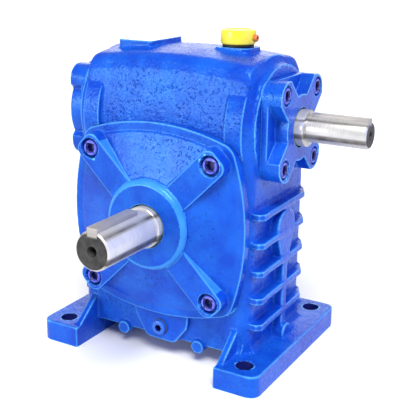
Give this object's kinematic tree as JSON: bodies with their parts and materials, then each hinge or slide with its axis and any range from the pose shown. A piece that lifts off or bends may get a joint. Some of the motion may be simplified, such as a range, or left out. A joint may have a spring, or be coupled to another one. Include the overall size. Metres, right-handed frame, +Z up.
{
  "type": "worm gearbox",
  "caption": "Foot-mounted worm gearbox: worm shaft across the top, wheel shaft below it at right angles, cast housing with fins, covers, seals and keyed shaft ends.",
  "frame": {"origin": "centre of the object's box, on the plane that the feet stand on", "axes": "+X along the worm shaft towards its input end, -Y along the output shaft towards its end, +Z up"},
  "size_m": [0.267, 0.232, 0.279],
  "materials": {
    "painted_cast_iron": "gloss enamel over a sand-cast surface",
    "gasket_paper": "pressed fibre gasket and washer",
    "screw_steel": "socket head screws painted over with the casing",
    "seal_rubber": "nitrile rubber",
    "turned_steel": "turned and ground, oiled",
    "bearing_steel": "ground bearing steel",
    "bronze": "cast tin bronze, hobbed teeth",
    "hub_iron": "bare cast iron, turned at the rim seat",
    "cap_plastic": "moulded polyamide",
    "vent_plastic": "small moulded vent insert"
  },
  "bodies": {
    "casing": {"housing": "painted_cast_iron", "output_cover": "painted_cast_iron", "rear_cover": "painted_cast_iron", "input_cover": "painted_cast_iron", "blind_cover": "painted_cast_iron", "output_gasket": "gasket_paper", "rear_gasket": "gasket_paper", "input_gasket": "gasket_paper", "blind_gasket": "gasket_paper", "output_cover_screw_1": "screw_steel", "output_cover_screw_2": "screw_steel", "output_cover_screw_3": "screw_steel", "output_cover_screw_4": "screw_steel", "rear_cover_screw_1": "screw_steel", "rear_cover_screw_2": "screw_steel", "rear_cover_screw_3": "screw_steel", "rear_cover_screw_4": "screw_steel", "input_cover_screw_1": "screw_steel", "input_cover_screw_2": "screw_steel", "input_cover_screw_3": "screw_steel", "input_cover_screw_4": "screw_steel", "blind_cover_screw_1": "screw_steel", "blind_cover_screw_2": "screw_steel", "blind_cover_screw_3": "screw_steel", "blind_cover_screw_4": "screw_steel", "output_seal": "seal_rubber", "input_seal": "seal_rubber", "output_front_bearing_cup": "bearing_steel", "output_rear_bearing_cup": "bearing_steel", "worm_input_bearing_cup": "bearing_steel", "worm_blind_bearing_cup": "bearing_steel", "breather_cap": "cap_plastic", "breather_seal": "seal_rubber", "breather_vent": "vent_plastic", "drain_plug": "screw_steel", "drain_washer": "gasket_paper"},
    "output": {"output_shaft": "turned_steel", "output_key": "turned_steel", "wheel_rim": "bronze", "wheel_hub": "hub_iron", "wheel_key": "turned_steel", "wheel_spacer": "turned_steel", "output_front_bearing_cone": "bearing_steel", "output_rear_bearing_cone": "bearing_steel"},
    "worm": {"worm_shaft": "turned_steel", "input_key": "turned_steel", "worm_input_bearing_cone": "bearing_steel", "worm_blind_bearing_cone": "bearing_steel"},
    "output_front_cage": {"output_front_bearing_rollers": "bearing_steel"},
    "output_rear_cage": {"output_rear_bearing_rollers": "bearing_steel"},
    "worm_input_cage": {"worm_input_bearing_rollers": "bearing_steel"},
    "worm_blind_cage": {"worm_blind_bearing_rollers": "bearing_steel"}
  },
  "joints": [
    {"name": "output_turn", "type": "hinge", "parent": "casing", "child": "output", "pos_m": [-0.0255, 0.032, 0.1242], "axis": [0, -1, 0], "continuous": true},
    {"name": "worm_turn", "type": "hinge", "parent": "casing", "child": "worm", "pos_m": [-0.0255, 0.032, 0.2042], "axis": [1, 0, 0], "continuous": true},
    {"name": "output_front_cage_turn", "type": "hinge", "parent": "casing", "child": "output_front_cage", "pos_m": [-0.0255, 0.032, 0.1242], "axis": [0, -1, 0], "continuous": true},
    {"name": "output_rear_cage_turn", "type": "hinge", "parent": "casing", "child": "output_rear_cage", "pos_m": [-0.0255, 0.032, 0.1242], "axis": [0, -1, 0], "continuous": true},
    {"name": "worm_input_cage_turn", "type": "hinge", "parent": "casing", "child": "worm_input_cage", "pos_m": [-0.0255, 0.032, 0.2042], "axis": [1, 0, 0], "continuous": true},
    {"name": "worm_blind_cage_turn", "type": "hinge", "parent": "casing", "child": "worm_blind_cage", "pos_m": [-0.0255, 0.032, 0.2042], "axis": [1, 0, 0], "continuous": true}
  ],
  "couplings": [
    {"joint": "worm_turn", "follows": "output_turn", "ratio": 30},
    {"joint": "output_front_cage_turn", "follows": "output_turn", "ratio": 0.4218},
    {"joint": "output_rear_cage_turn", "follows": "output_turn", "ratio": 0.4218},
    {"joint": "worm_input_cage_turn", "follows": "output_turn", "ratio": 12.636},
    {"joint": "worm_blind_cage_turn", "follows": "output_turn", "ratio": 12.636}
  ]
}
